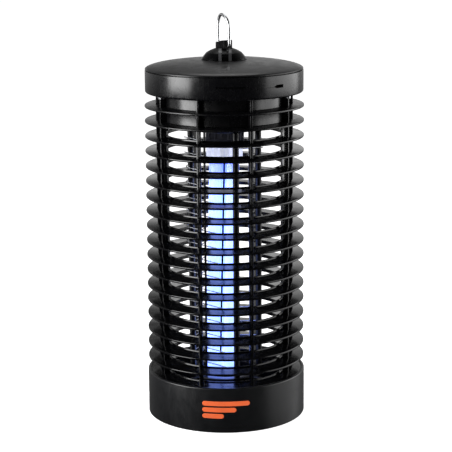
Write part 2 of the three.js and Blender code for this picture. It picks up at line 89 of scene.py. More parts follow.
GRID_TURN_FROM_FRONT = math.radians(17.7)
LAMP_TILT = math.radians(1.5)
LAMP_CAP_Z, LAMP_TIP_Z, LAMP_CAP_HEIGHT = 230 * MM, 35.3 * MM, 16 * MM
RIB_INNER_RADIUS, RIB_OUTER_RADIUS, RIB_THICKNESS = HOUSING_WALL_RADIUS, 60.2 * MM, 2.1 * MM
SHELL_WALL = 2.4 * MM

ROUND_SEGMENTS, SHELL_SEGMENTS = 160, 224


# ---- Mesh helpers ----

def piece(name, mesh, body, material, replaces=(), sharp_degrees=32):
    """Links a finished mesh as a piece that rides on a body and stands for CAD nodes."""
    obj = bpy.data.objects.new(name, mesh)
    bpy.context.scene.collection.objects.link(obj)
    mesh.materials.clear()
    mesh.materials.append(material)
    mesh.shade_smooth()
    mesh.set_sharp_from_angle(angle=math.radians(sharp_degrees))
    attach(obj, body)
    if replaces:
        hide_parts(*replaces)
    return obj


def mesh_of(name, verts, faces):
    """A mesh from points and faces, with its normals facing out."""
    mesh = bpy.data.meshes.new(name)
    mesh.from_pydata([tuple(v) for v in verts], [], faces)
    bm = bmesh.new()
    bm.from_mesh(mesh)
    bmesh.ops.remove_doubles(bm, verts=bm.verts, dist=1e-7)
    bmesh.ops.recalc_face_normals(bm, faces=bm.faces)
    bm.to_mesh(mesh)
    bm.free()
    return mesh


def joined(name, meshes):
    """One mesh that holds several."""
    bm = bmesh.new()
    for part in meshes:
        bm.from_mesh(part)
    mesh = bpy.data.meshes.new(name)
    bm.to_mesh(mesh)
    bm.free()
    return mesh


def filleted(corners, steps=4):
    """A closed outline from corners (radius, z, fillet), each rounded by an arc of its fillet radius."""
    points = []
    count = len(corners)
    for i, (x, z, fillet) in enumerate(corners):
        here = Vector((x, z))
        if fillet <= 0:
            points.append(here)
            continue
        before = Vector(corners[i - 1][:2]) - here
        after = Vector(corners[(i + 1) % count][:2]) - here
        angle = before.angle(after)
        reach = min(fillet / math.tan(angle / 2), 0.49 * before.length, 0.49 * after.length)
        radius = reach * math.tan(angle / 2)
        bisector = (before.normalized() + after.normalized()).normalized()
        centre = here + bisector * (radius / math.sin(angle / 2))
        start = here + before.normalized() * reach - centre
        end = here + after.normalized() * reach - centre
        sweep = start.angle_signed(end)
        for k in range(steps + 1):
            turn = -sweep * k / steps
            spin = Matrix.Rotation(turn, 2)
            points.append(centre + spin @ start)
    return points


def revolved(name, outline, segments=ROUND_SEGMENTS, on_axis=False, start=0.0, sweep=2 * math.pi):
    """A body of revolution about Z. An outline on the axis is open there, and any other closes on itself."""
    full = sweep >= 2 * math.pi - 1e-9
    rows = segments if full else segments + 1
    count = len(outline)
    verts = []
    for s in range(rows):
        angle = start + sweep * s / segments
        verts += [(p[0] * math.cos(angle), p[0] * math.sin(angle), p[1]) for p in outline]
    faces = []
    spans = count - 1 if on_axis else count
    for s in range(segments):
        a, b = s * count, ((s + 1) % rows) * count
        for i in range(spans):
            j = (i + 1) % count
            faces.append((a + i, a + j, b + j, b + i))
    if not full:
        faces.append(tuple(range(count)))
        faces.append(tuple(range((rows - 1) * count, rows * count)))
    return mesh_of(name, verts, faces)


def rod(name, radius, low, high, segments):
    """A plain round rod about Z."""
    outline = [Vector((0, low)), Vector((radius, low)), Vector((radius, high)), Vector((0, high))]
    return revolved(name, outline, segments, on_axis=True)


def rounded_box(name, size, fillet, segments=3):
    """A box centred on the origin with rounded edges."""
    bm = bmesh.new()
    bmesh.ops.create_cube(bm, size=1.0)
    bmesh.ops.scale(bm, vec=size, verts=bm.verts)
    bmesh.ops.bevel(bm, geom=bm.edges[:], offset=fillet, segments=segments, affect="EDGES", profile=0.5)
    mesh = bpy.data.meshes.new(name)
    bm.to_mesh(mesh)
    bm.free()
    return mesh


def moved(mesh, matrix):
    mesh.transform(matrix)
    return mesh


def shifted(mesh, x, y, z):
    return moved(mesh, Matrix.Translation((x, y, z)))


def middle(node):
    """The centre of a CAD node's box."""
    low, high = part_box(node)
    return (low + high) / 2


def bearing(node):
    """The angle about Z at which a CAD node stands."""
    centre = middle(node)
    return math.atan2(centre.y, centre.x)


def tube_along(name, points, radius, sides):
    """A round tube through points, with its section carried along without twist and its ends closed."""
    points = [Vector(p) for p in points]
    tangents = []
    for i in range(len(points)):
        before = points[max(i - 1, 0)]
        after = points[min(i + 1, len(points) - 1)]
        tangents.append((after - before).normalized())
    normal = tangents[0].orthogonal().normalized()
    verts, faces = [], []
    for point, tangent in zip(points, tangents):
        normal = (normal - tangent * normal.dot(tangent)).normalized()
        side = tangent.cross(normal)
        for k in range(sides):
            angle = 2 * math.pi * k / sides
            verts.append(point + radius * (math.cos(angle) * normal + math.sin(angle) * side))
    for i in range(len(points) - 1):
        for k in range(sides):
            j = (k + 1) % sides
            faces.append((i * sides + k, i * sides + j, (i + 1) * sides + j, (i + 1) * sides + k))
    faces.append(tuple(range(sides)))
    faces.append(tuple(range((len(points) - 1) * sides, len(points) * sides)))
    return mesh_of(name, verts, faces)


def boolean(mesh, tool, operation):
    """mesh cut by or joined with tool, exactly."""
    scene = bpy.context.scene
    base = bpy.data.objects.new("boolean_base", mesh)
    other = bpy.data.objects.new("boolean_tool", tool)
    for obj in (base, other):
        scene.collection.objects.link(obj)
    modifier = base.modifiers.new("boolean", "BOOLEAN")
    modifier.operation = operation
    modifier.solver = "EXACT"
    modifier.object = other
    result = bpy.data.meshes.new_from_object(base.evaluated_get(bpy.context.evaluated_depsgraph_get()))
    for obj in (base, other):
        bpy.data.objects.remove(obj)
    return result


# ---- Materials ----

class Nodes:
    """Builds one material's node tree, with the principled shader at its end."""

    def __init__(self, name):
        self.material = bpy.data.materials.new(name)
        self.material.use_nodes = True
        self.tree = self.material.node_tree
        self.shader = next(n for n in self.tree.nodes if n.type == "BSDF_PRINCIPLED")
        self.place = self.add("ShaderNodeTexCoord").outputs["Object"]

    def add(self, kind, inputs=None, **settings):
        node = self.tree.nodes.new(kind)
        for key, value in settings.items():
            setattr(node, key, value)
        for key, value in (inputs or {}).items():
            self.set(node.inputs[key], value)
        return node

    def set(self, socket, value):
        if isinstance(value, bpy.types.NodeSocket):
            self.tree.links.new(value, socket)
        elif isinstance(value, bpy.types.Node):
            self.tree.links.new(value.outputs[0], socket)
        else:
            socket.default_value = value

    def noise(self, scale, detail=4.0, stretch=(1, 1, 1), roughness=0.55):
        mapping = self.add("ShaderNodeMapping", {"Vector": self.place, "Scale": stretch})
        settings = {"Vector": mapping, "Scale": scale, "Detail": detail, "Roughness": roughness}
        return self.add("ShaderNodeTexNoise", settings).outputs["Fac"]

    def ramp(self, value, stops):
        node = self.add("ShaderNodeValToRGB", {"Fac": value})
        elements = node.color_ramp.elements
        elements[0].position, elements[0].color = stops[0][0], (*stops[0][1], 1)
        elements[1].position, elements[1].color = stops[-1][0], (*stops[-1][1], 1)
        for position, colour in stops[1:-1]:
            elements.new(position).color = (*colour, 1)
        return node.outputs["Color"]

    def span(self, value, low, high, from_low=0.0, from_high=1.0):
        inputs = {"Value": value, "From Min": from_low, "From Max": from_high, "To Min": low, "To Max": high}
        return self.add("ShaderNodeMapRange", inputs).outputs["Result"]

    def math(self, operation, a, b=0.0):
        return self.add("ShaderNodeMath", {0: a, 1: b}, operation=operation).outputs[0]

    def mix(self, factor, a, b):
        node = self.add("ShaderNodeMix", data_type="RGBA")
        self.set(node.inputs[0], factor)
        self.set(node.inputs[6], a)
        self.set(node.inputs[7], b)
        return node.outputs[2]

    def bump(self, height, strength, distance, normal=None):
        node = self.add("ShaderNodeBump", {"Height": height, "Strength": strength, "Distance": distance})
        if normal is not None:
            self.set(node.inputs["Normal"], normal)
        return node.outputs["Normal"]

    def up_facing(self):
        """1 where a surface faces straight up, 0 where it is upright or faces down."""
        normal = self.add("ShaderNodeNewGeometry").outputs["Normal"]
        z = self.add("ShaderNodeSeparateXYZ", {0: normal}).outputs["Z"]
        return self.add("ShaderNodeClamp", {"Value": z}).outputs[0]

    def finish(self, **sockets):
        for key, value in sockets.items():
            self.set(self.shader.inputs[key.replace("_", " ")], value)
        return self.material


DUST = (0.16, 0.155, 0.145, 1)
DARK_SPECK = (0.08, 0.075, 0.07, 1)


def moulded(name, colour, roughness, grain=0.25, dust=0.12, gloss=0.5, painted_glow=None):
    """Moulded plastic: fine grain, slow drift, hairline scuffs and dust; an optional glowing colour is
    painted light, an emission that stands in for the lamp's light falling on the part, which is no lamp.
    """
    n = Nodes(name)
    drift = n.noise(18.0, 3.0)
    cloud = n.noise(120.0, 5.0)
    pores = n.noise(2600.0, 2.0)
    scuffs = n.noise(900.0, 2.0, stretch=(1.0, 1.0, 0.06))
    lighter = tuple(min(1.0, c * 1.4 + 0.0004) for c in colour)
    base = n.mix(n.span(drift, 0.0, 1.0, 0.35, 0.65), (*colour, 1), (*lighter, 1))
    settled = n.math("MULTIPLY", n.up_facing(), n.span(cloud, 0.0, dust, 0.42, 0.72))
    base = n.mix(settled, base, DUST)
    scuffed = n.span(scuffs, 0.0, 0.06, 0.56, 0.72)
    rough = n.math("ADD", n.span(cloud, roughness - 0.05, roughness + 0.06, 0.3, 0.7), scuffed)
    rough = n.math("ADD", rough, n.math("MULTIPLY", settled, 0.6))
    normal = n.bump(pores, grain, 0.00004)
    normal = n.bump(drift, 0.12, 0.0006, normal)
    n.shader.inputs["Specular IOR Level"].default_value = gloss
    if painted_glow is None:
        return n.finish(Base_Color=base, Roughness=rough, Normal=normal)
    # Painted light: this emission paints the lamp's bluish light onto the plastic, with dimmer streaks; the
    # plastic gives no light of its own.
    n.shader.inputs["Emission Strength"].default_value = 1.0
    bands = n.noise(70.0, 1.0, stretch=(1.0, 1.0, 0.15))
    dim = tuple(c * 0.45 for c in painted_glow)
    shade = n.mix(n.span(bands, 0.0, 1.0, 0.38, 0.62), (*dim, 1), (*painted_glow, 1))
    return n.finish(Base_Color=base, Roughness=rough, Normal=normal, Emission_Color=shade)


def drawn_metal(name, colour, roughness, along=(1, 1, 0.05)):
    """Drawn or plated metal: fine draw lines, dull patches and a few dark specks."""
    n = Nodes(name)
    lines = n.noise(1400.0, 3.0, stretch=along)
    patches = n.noise(60.0, 4.0)
    specks = n.noise(700.0, 2.0)
    dull = tuple(c * 0.72 for c in colour)
    base = n.mix(n.span(patches, 0.0, 1.0, 0.35, 0.7), (*colour, 1), (*dull, 1))
    base = n.mix(n.span(specks, 0.0, 0.7, 0.66, 0.74), base, DARK_SPECK)
    rough = n.span(lines, roughness - 0.08, roughness + 0.12, 0.3, 0.7)
    n.shader.inputs["Metallic"].default_value = 1.0
    return n.finish(Base_Color=base, Roughness=rough, Normal=n.bump(lines, 0.18, 0.00005))


def lit_glass(name):
    """Phosphor-coated glass, lit: nearly even, a little weaker at the ends, with faint coating streaks."""
    n = Nodes(name)
    low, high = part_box("lamp_tube")
    z = n.add("ShaderNodeSeparateXYZ", {0: n.place}).outputs["Z"]
    streaks = n.noise(260.0, 3.0, stretch=(1, 1, 0.08))
    near_cap = n.span(z, 1.0, 0.35, high.z - 24 * MM, high.z)
    near_tip = n.span(z, 0.55, 1.0, low.z, low.z + 6 * MM)
    level = n.math("MULTIPLY", n.math("MULTIPLY", near_cap, near_tip), n.span(streaks, 0.95, 1.02, 0.3, 0.7))
    colour = n.ramp(level, [
        (0.0, (0.01, 0.02, 0.25)), (0.45, (0.05, 0.09, 0.62)), (1.0, (0.172, 0.285, 1.0)),
    ])
    n.shader.inputs["IOR"].default_value = 1.5
    n.shader.inputs["Emission Strength"].default_value = LAMP_STRENGTH
    rough = n.span(streaks, 0.08, 0.2)
    return n.finish(Base_Color=(0.80, 0.88, 0.95, 1), Roughness=rough, Emission_Color=colour)


def board_mask(name):
    """A circuit board: green solder mask over copper tracks, with tinned pads."""
    n = Nodes(name)
    tracks = n.add(
        "ShaderNodeTexBrick", {"Vector": n.place, "Scale": 90.0, "Mortar Size": 0.03, "Bias": -0.2},
        offset=0.5, squash=1.2,
    )
    base = n.mix(tracks.outputs["Fac"], (0.012, 0.075, 0.030, 1), (0.030, 0.150, 0.060, 1))
    pads = n.add("ShaderNodeTexVoronoi", {"Vector": n.place, "Scale": 260.0}).outputs["Distance"]
    pad = n.span(pads, 1.0, 0.0, 0.10, 0.14)
    base = n.mix(pad, base, (0.62, 0.62, 0.60, 1))
    rough = n.span(n.noise(300.0), 0.25, 0.42)
    return n.finish(
        Base_Color=base, Roughness=rough, Metallic=n.math("MULTIPLY", pad, 0.9),
        Normal=n.bump(tracks.outputs["Fac"], 0.3, 0.00008),
    )


def laminated(name):
    """A choke's varnished steel laminations: fine plates across Y, with darker varnish in patches."""
    n = Nodes(name)
    wave = n.add(
        "ShaderNodeTexWave", {"Vector": n.place, "Scale": 320.0, "Distortion": 0.4},
        bands_direction="Y", wave_profile="SAW",
    ).outputs["Fac"]
    base = n.mix(wave, (0.10, 0.10, 0.105, 1), (0.36, 0.37, 0.38, 1))
    base = n.mix(n.span(n.noise(90.0), 0.0, 0.6, 0.4, 0.7), base, (0.16, 0.10, 0.05, 1))
    return n.finish(
        Base_Color=base, Roughness=n.span(wave, 0.55, 0.35), Metallic=0.8, Normal=n.bump(wave, 0.5, 0.0002)
    )


LAMP_STRENGTH = 3.0
CAGE_PLASTIC = moulded("cage_black", (0.0010, 0.0010, 0.0014), 0.15, grain=0.04, dust=0.012)
HOUSING_PLASTIC = moulded("housing_black", (0.0010, 0.0010, 0.0014), 0.27, grain=0.15, dust=0.01)
CAP_PLASTIC = moulded("cap_black", (0.0012, 0.0012, 0.0016), 0.24, grain=0.2, dust=0.02)
LID_PLASTIC = moulded("lid_black", (0.0020, 0.0020, 0.0024), 0.32, grain=0.2, dust=0.02)
TRAY_PLASTIC = moulded("tray_charcoal", (0.0028, 0.0030, 0.0036), 0.33, grain=0.3, dust=0.03)
BOSS_PLASTIC = moulded("boss_black", (0.0004, 0.0004, 0.0006), 0.26, grain=0.15, dust=0.004, gloss=0.12)
# Painted highlight: the straps' shape is real, but their grey stands in for the light their faces catch on
# the black boss.
STRAP_PAINTED_HIGHLIGHT = moulded("strap_painted_highlight_grey", (0.034, 0.034, 0.036), 0.30, grain=0.2, dust=0.02)
GRID_PLASTIC = moulded("grid_black", (0.0012, 0.0012, 0.0020), 0.30, grain=0.2, dust=0.01)
SOCKET_PLASTIC = moulded("socket_dark", (0.022, 0.023, 0.034), 0.38, grain=0.2, dust=0.02)
# Painted light: the lamp cap is plain white plastic; its bluish emission is painted glow standing in for the
# tubes' light falling on it.
LAMP_CAP_PAINTED_GLOW = moulded(
    "lamp_cap_painted_glow", (0.62, 0.62, 0.62), 0.40, grain=0.2, dust=0.05, painted_glow=(0.52, 0.58, 0.86)
)
NUT_PLASTIC = moulded("nylon", (0.52, 0.52, 0.49), 0.45, grain=0.2, dust=0.1)
TAPE_PLASTIC = moulded("transformer_tape", (0.30, 0.22, 0.03), 0.35, grain=0.1, dust=0.1)
EPOXY_BLUE = moulded("capacitor_blue", (0.02, 0.07, 0.33), 0.25, grain=0.1, dust=0.1)
RUBBER = moulded("bush_rubber", (0.010, 0.010, 0.010), 0.62, grain=0.5, dust=0.25)
BADGE_INK = moulded("badge_orange", (0.60, 0.085, 0.010), 0.40, grain=0.3, dust=0.05)
WIRE_STEEL = drawn_metal("grid_steel", (0.42, 0.43, 0.46), 0.34)
BAIL_STEEL = drawn_metal("bail_zinc", (0.66, 0.67, 0.68), 0.28)
SCREW_STEEL = drawn_metal("screw_zinc", (0.55, 0.56, 0.58), 0.35, along=(1, 1, 1))
BRASS = drawn_metal("pin_brass", (0.72, 0.50, 0.20), 0.30)
LAMP_GLASS = lit_glass("lamp_glass_lit")
BOARD_GREEN = board_mask("board_green")
CHOKE_STEEL = laminated("choke_laminations")


# ---- Tray ----

BAR_HALF_HEIGHT = 2.1 * MM
# Each printed bar's middle, counted along the wall from the front, its height and half its length, in mm.
BADGE_BARS = ((-0.5, 26.6, 21.0), (-6.5, 21.0, 15.0), (-12.0, 15.4, 9.5))


def tray():
    radius, shoulder = TRAY_RADIUS - 0.12 * MM, 2.1 * MM
    inner = radius - SHELL_WALL
    outline = filleted([
        (0, FLOOR_Z, 0), (radius, FLOOR_Z, 0.9 * MM), (radius, TRAY_TOP, shoulder),
        (inner, TRAY_TOP, 0.2 * MM), (inner, SHELL_WALL, 3.0 * MM), (0, SHELL_WALL, 0),
    ], steps=7)
    mesh = revolved("tray", outline, SHELL_SEGMENTS, on_axis=True)
    piece("tray_shell", mesh, "tray", TRAY_PLASTIC, ["base_tray"])
    bars = [printed_bar(*(value * MM for value in bar), BAR_HALF_HEIGHT) for bar in BADGE_BARS]
    piece("tray_badge", joined("badge", bars), "tray", BADGE_INK)


def printed_bar(centre, height, half_length, half_height):
    """A bar with round ends, wrapped on the tray's front and a hair proud of it."""
    steps, rows = 56, 4
    inner, outer = TRAY_RADIUS - 0.3 * MM, TRAY_RADIUS - 0.03 * MM
    verts, faces = [], []
    for radius in (inner, outer):
        for i in range(steps + 1):
            swing = math.pi * i / steps
            along = -half_length * math.cos(swing)
            past = max(0.0, abs(along) - (half_length - half_height))
            reach = math.sqrt(max(0.0, half_height ** 2 - past ** 2))
            angle = (centre + along) / TRAY_RADIUS - math.pi / 2
            for j in range(rows + 1):
                z = height - reach + 2 * reach * j / rows
                verts.append((radius * math.cos(angle), radius * math.sin(angle), z))
    across = rows + 1
    layer = (steps + 1) * across
    for base in (0, layer):
        for i in range(steps):
            for j in range(rows):
                a = base + i * across + j
                faces.append((a, a + 1, a + across + 1, a + across))
    for j in (0, rows):
        for i in range(steps):
            a = i * across + j
            faces.append((a, a + across, a + across + layer, a + layer))
    return mesh_of("bar", verts, faces)


# ---- Cage ----

def louvre_mesh(top):
    lip_height, lip_width, edge = 1.3 * MM, 1.3 * MM, 0.55 * MM
    bottom = top - LOUVRE_THICKNESS
    outline = filleted([
        (LOUVRE_INNER_RADIUS, bottom, edge), (LOUVRE_RADIUS, bottom, edge), (LOUVRE_RADIUS, top, edge),
        (LOUVRE_INNER_RADIUS + lip_width, top, 0.3 * MM),
        (LOUVRE_INNER_RADIUS + lip_width, top + lip_height, 0.4 * MM),
        (LOUVRE_INNER_RADIUS, top + lip_height, 0.4 * MM),
    ], steps=3)
    return revolved("louvre", outline)


def rib_meshes(bottom, top, embedded=0.0):
    """Upright ribs from bottom to top at the CAD posts' places."""
    ribs = []
    inner = RIB_INNER_RADIUS - embedded
    size = (RIB_OUTER_RADIUS - inner, RIB_THICKNESS, top - bottom)
    place = Matrix.Translation(((RIB_OUTER_RADIUS + inner) / 2, 0, (top + bottom) / 2))
    for name in POSTS:
        rib = rounded_box("rib", size, 0.4 * MM)
        ribs.append(moved(rib, Matrix.Rotation(bearing(name), 4, "Z") @ place))
    return ribs


def cage():
    rings = joined("louvres", [louvre_mesh(box[1].z) for box in LOUVRE_BOXES])
    piece("cage_louvres", rings, "housing", CAGE_PLASTIC, LOUVRES)
    foot_low, foot_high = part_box("cage_foot_ring")
    ribs = rib_meshes(foot_high.z - 0.3 * MM, HOUSING[0].z + 0.3 * MM)
    piece("cage_ribs", joined("ribs", ribs), "housing", CAGE_PLASTIC, POSTS)
    skirt_outer = foot_high.x
    skirt_inner = skirt_outer - 2.2 * MM
    flange_bottom = foot_high.z - LOUVRE_THICKNESS
    lip_height, lip_width = 1.1 * MM, 1.3 * MM
    outline = filleted([
        (LOUVRE_INNER_RADIUS, flange_bottom, 0.5 * MM), (skirt_inner, flange_bottom, 0.6 * MM),
        (skirt_inner, foot_low.z, 0.5 * MM), (skirt_outer, foot_low.z, 0.8 * MM),
        (skirt_outer, foot_high.z, 0.5 * MM), (LOUVRE_INNER_RADIUS + lip_width, foot_high.z, 0.3 * MM),
        (LOUVRE_INNER_RADIUS + lip_width, foot_high.z + lip_height, 0.4 * MM),
        (LOUVRE_INNER_RADIUS, foot_high.z + lip_height, 0.4 * MM),
    ], steps=3)
    foot = revolved("foot", outline)
    piece("cage_foot", foot, "housing", CAGE_PLASTIC, ["cage_foot_ring"])


# ---- Grid ----

def grid_ring(name, half_width, low, high, fillet):
    """A flat ring centred on the columns' circle."""
    inner, outer = GRID_RADIUS - half_width, GRID_RADIUS + half_width
    outline = filleted([
        (inner, low.z, fillet), (outer, low.z, fillet), (outer, high.z, fillet), (inner, high.z, fillet),
    ], steps=3)
    return revolved(name, outline, 96)


def crown():
    low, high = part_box("grid_top_ring")
    mesh = grid_ring("grid_crown", high.x - GRID_RADIUS, low, high, 0.8 * MM)
    piece("grid_crown", mesh, "housing", GRID_PLASTIC, ["grid_top_ring"])


def spider():
    low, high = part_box("grid_spider")
    mesh = grid_ring("spider_ring", 3.9 * MM, low, high, 0.5 * MM)
    spokes, spoke_width = 4, 4 * MM
    reach = high.to_2d().length - 2.2 * MM
    size = (reach - GRID_RADIUS, spoke_width, high.z - low.z - 0.3 * MM)
    place = Matrix.Translation(((reach + GRID_RADIUS) / 2, 0, (high.z + low.z) / 2))
    for i in range(spokes):
        turn = Matrix.Rotation(2 * math.pi * (i + 0.5) / spokes, 4, "Z")
        spoke = moved(rounded_box("spoke", size, 0.7 * MM), turn @ place)
        mesh = boolean(mesh, spoke, "UNION")
    piece("spider", mesh, "housing", GRID_PLASTIC, ["grid_spider"])


def column_mesh(node, wire_heights):
    """A moulded rod with a shallow groove wherever a wire passes."""
    low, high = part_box(node)
    radius, chamfer, plain_end = COLUMN_RADIUS, 0.3 * MM, 2 * MM
    floor_radius, floor_half, mouth_half = radius - 0.35 * MM, 0.45 * MM, 0.9 * MM
    outline = [(0, low.z), (radius - chamfer, low.z), (radius, low.z + chamfer)]
    for z in wire_heights:
        if low.z + plain_end < z < high.z - plain_end:
            outline += [
                (radius, z - mouth_half), (floor_radius, z - floor_half),
                (floor_radius, z + floor_half), (radius, z + mouth_half),
            ]
    outline += [(radius, high.z - chamfer), (radius - chamfer, high.z), (0, high.z)]
    mesh = revolved("column", [Vector(p) for p in outline], 28, on_axis=True)
    angle = bearing(node)
    return shifted(mesh, GRID_RADIUS * math.cos(angle), GRID_RADIUS * math.sin(angle), 0)


def wire_heights_at(node, wires):
    """The heights at which the wires pass a column, one for each pass."""
    angle = bearing(node)
    outward = Vector((math.cos(angle), math.sin(angle)))
    points = [p for wire in wires.values() for p in wire]
    heights = sorted(p.z for p in points if p.to_2d().normalized().dot(outward) > 0.9995)
    return [z for i, z in enumerate(heights) if i == 0 or z - heights[i - 1] > 3 * MM]


def winding_points(node):
    """Points along one grid wire: straight from column to column, with a short bend round each column."""
    low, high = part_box(node)
    pitch = 2 * LOUVRE_PITCH
    spans = round((high.z - low.z) / pitch * len(COLUMNS))
    first = GRID_TURN_FROM_FRONT - math.pi / 2
    step = -2 * math.pi / len(COLUMNS)
    start_z = low.z + 0.5 * MM
    corners = [
        Vector((
            WIRE_CORNER_RADIUS * math.cos(first + i * step),
            WIRE_CORNER_RADIUS * math.sin(first + i * step),
            start_z + i * pitch / len(COLUMNS),
        )) for i in range(spans + 1)
    ]
    bend, bend_steps = 4.6 * MM, 4
    points = [corners[0]]
    for i in range(1, len(corners) - 1):
        here = corners[i]
        before = here + (corners[i - 1] - here).normalized() * bend
        after = here + (corners[i + 1] - here).normalized() * bend
        for k in range(bend_steps + 1):
            t = k / bend_steps
            points.append((1 - t) ** 2 * before + 2 * t * (1 - t) * here + t ** 2 * after)
    points.append(corners[-1])
    return points


def guard_rod():
    low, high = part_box("grid_guard_rod")
    centre = middle("grid_guard_rod")
    radius, fillet = (high.x - low.x) / 2, 0.3 * MM
    outline = filleted([(0, low.z, 0), (radius, low.z, fillet), (radius, high.z, fillet), (0, high.z, 0)])
    mesh = shifted(revolved("guard", outline, 24, on_axis=True), centre.x, centre.y, 0)
    piece("grid_guard", mesh, "housing", GRID_PLASTIC, ["grid_guard_rod"])


def grid():
    wires = {name: winding_points(name) for name in ("grid_wire_a", "grid_wire_b")}
    for name, points in wires.items():
        mesh = tube_along(name, points, 0.48 * MM, sides=10)
        piece(name + "_wound", mesh, "housing", WIRE_STEEL, [name], sharp_degrees=60)
    columns = [column_mesh(node, wire_heights_at(node, wires)) for node in COLUMNS]
    piece("grid_columns", joined("columns", columns), "housing", GRID_PLASTIC, COLUMNS)
    guard_rod()
    crown()
    spider()


# ---- Upper housing ----

def housing():
    bottom, top = HOUSING
    wall = HOUSING_WALL_RADIUS
    inner = wall - 2.2 * MM
    edge, root, thickness = 0.55 * MM, 0.7 * MM, LOUVRE_THICKNESS
    flange = bottom.z + LOUVRE_PITCH
    bulkhead_bottom = bottom.z + 1.9 * MM
    bulkhead_top = bulkhead_bottom + SHELL_WALL
    hole = 21.6 * MM
    outline = filleted([
        (inner, bottom.z, 0.4 * MM), (LOUVRE_RADIUS, bottom.z, edge),
        (LOUVRE_RADIUS, bottom.z + thickness, edge), (wall, bottom.z + thickness, root),
        (wall, flange, root), (LOUVRE_RADIUS, flange, edge), (LOUVRE_RADIUS, flange + thickness, edge),
        (wall, flange + thickness, root), (wall, top.z, 0.3 * MM), (inner, top.z, 0.3 * MM),
        (inner, bulkhead_top, 0.8 * MM), (hole, bulkhead_top, 0.4 * MM), (hole, bulkhead_bottom, 0.4 * MM),
        (inner, bulkhead_bottom, 0.4 * MM),
    ], steps=3)
    shell = revolved("housing", outline)
    ribs = rib_meshes(bottom.z + 0.9 * MM, top.z, embedded=1.2 * MM)
    mesh = joined("housing", [shell, *ribs])
    nodes = ["upper_housing", "housing_flange_1", "housing_flange_2"]
    piece("housing_shell", mesh, "housing", HOUSING_PLASTIC, nodes)


# ---- Cap ----

def sector(inner, outer, low, high, from_degrees, to_degrees):
    """A curved block for cutting: degrees are counted from the front, positive to the right."""
    outline = [Vector((inner, low)), Vector((outer, low)), Vector((outer, high)), Vector((inner, high))]
    start = math.radians(from_degrees - 90)
    return revolved("sector", outline, 24, start=start, sweep=math.radians(to_degrees - from_degrees))


SLOT_Z = (RIM[0].z + RIM[1].z) / 2 + 1.4 * MM
GROOVE_DEPTH, GROOVE_HALF_HEIGHT = 1.9 * MM, 0.7 * MM
# Each groove's ends in degrees from the front, and how far it lies below SLOT_Z.
RIM_GROOVES = ((-6, 14.5, 0), (22.9, 46, 0.9 * MM))
NOTCH_DEPTH, NOTCH_BELOW, NOTCH_ABOVE = 1.3 * SHELL_WALL, 2.2 * MM, 0.6 * MM
NOTCH_START, NOTCH_END = 39, 46
INLET_RADIUS = 4.8 * MM


def rim():
    bottom, top = RIM
    radius, wall = RIM_RADIUS, SHELL_WALL
    hole = 48 * MM
    outline = filleted([
        (hole, bottom.z, 0.5 * MM), (radius, bottom.z, 1.9 * MM), (radius, top.z, 0.5 * MM),
        (radius - wall, top.z, 0.3 * MM), (radius - wall, bottom.z + wall, 1.0 * MM),
        (hole, bottom.z + wall, 0.5 * MM),
    ], steps=5)
    mesh = revolved("rim", outline, SHELL_SEGMENTS)
    past = radius + 1 * MM
    for side in (0, 180):
        for start, end, drop in RIM_GROOVES:
            low, high = SLOT_Z - drop - GROOVE_HALF_HEIGHT, SLOT_Z - drop + GROOVE_HALF_HEIGHT
            groove = sector(radius - GROOVE_DEPTH, past, low, high, side + start, side + end)
            mesh = boolean(mesh, groove, "DIFFERENCE")
        low, high = SLOT_Z - NOTCH_BELOW, SLOT_Z + NOTCH_ABOVE
        notch = sector(radius - NOTCH_DEPTH, past, low, high, side + NOTCH_START, side + NOTCH_END)
        mesh = boolean(mesh, notch, "DIFFERENCE")
    drill = moved(rod("drill", INLET_RADIUS, -10 * MM, 10 * MM, 32), Matrix.Rotation(math.pi / 2, 4, "Y"))
    drill = shifted(drill, radius, 0, middle("cord_bush").z)
    mesh = boolean(mesh, moved(drill, Matrix.Rotation(bearing("cord_bush"), 4, "Z")), "DIFFERENCE")
    piece("rim_shell", mesh, "housing", CAP_PLASTIC, ["top_rim"])


def lid_z(radius):
    return LID_EDGE_Z + (LID_APEX - LID_EDGE_Z) * math.sqrt(max(0.0, 1 - (radius / RIM_RADIUS) ** 2))


def lid():
    wall, hole, seam = SHELL_WALL, 8.3 * MM, LID_EDGE_Z
    skirt, skirt_bottom = RIM_RADIUS - 2.7 * MM, seam - 4 * MM
    first, steps = math.radians(4), 39
    outer = []
    for i in range(steps + 1):
        angle = first + i / steps * (math.acos(hole / RIM_RADIUS) - first)
        radius = RIM_RADIUS * math.cos(angle)
        outer.append(Vector((radius, lid_z(radius))))
    inside = [p for p in reversed(outer) if p.x < skirt - 2 * MM]
    under = [Vector((max(p.x - wall * 0.8, hole), p.y - wall)) for p in inside]
    edge = [
        (skirt - wall, skirt_bottom), (skirt, skirt_bottom), (skirt, seam),
        (RIM_RADIUS - 0.6 * MM, seam), (RIM_RADIUS - 0.15 * MM, seam + 0.2 * MM),
    ]
    mesh = revolved("lid", [*under, *[Vector(p) for p in edge], *outer], SHELL_SEGMENTS)
    piece("lid_shell", mesh, "housing", LID_PLASTIC, ["top_lid"])


# ---- Hanger ----

